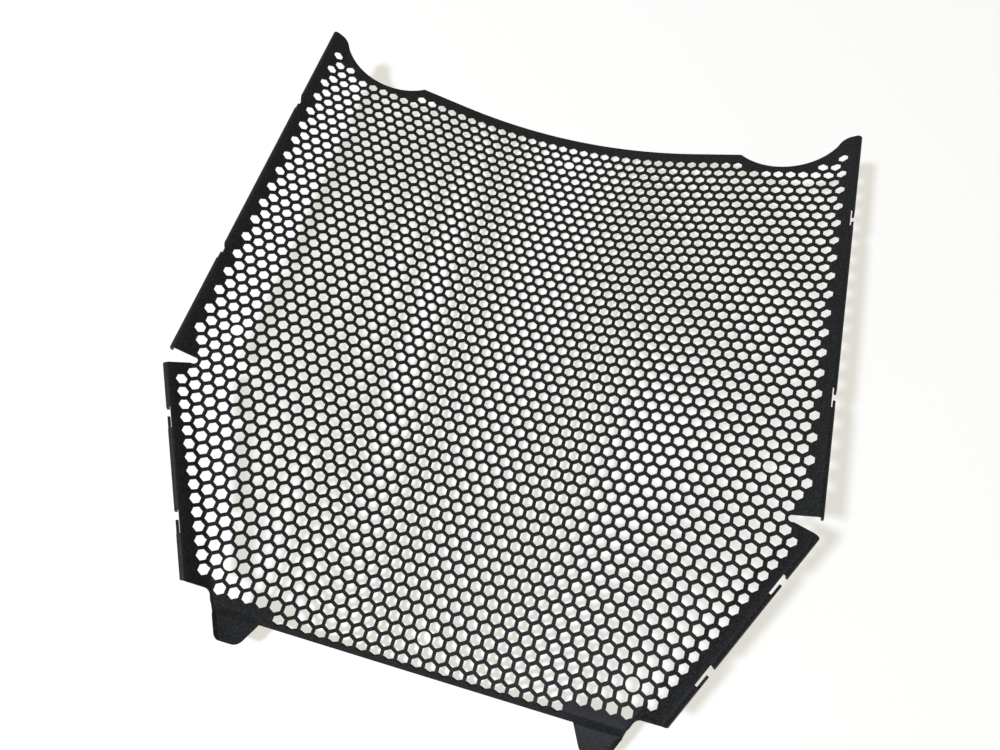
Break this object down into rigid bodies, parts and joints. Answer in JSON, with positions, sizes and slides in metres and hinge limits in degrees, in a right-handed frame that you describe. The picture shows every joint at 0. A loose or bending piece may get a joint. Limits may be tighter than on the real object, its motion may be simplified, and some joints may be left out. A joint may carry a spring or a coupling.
{
  "type": "motorcycle radiator guard",
  "caption": "Thin folded metal guard full of hexagon holes that bolts over the front of a motorcycle's radiator and lets air through.",
  "frame": {"origin": "centre of the bounding box, at the height of the surface that the guard lies on", "axes": "+X across the guard, +Y up the guard from its tabs to its top ears, +Z out of its front face; the guard lies on its curved back"},
  "size_m": [0.3392, 0.3648, 0.0445],
  "materials": {
    "guard_sheet": "satin black powder coat"
  },
  "bodies": {
    "root": {"guard_sheet": "guard_sheet"}
  },
  "joints": []
}
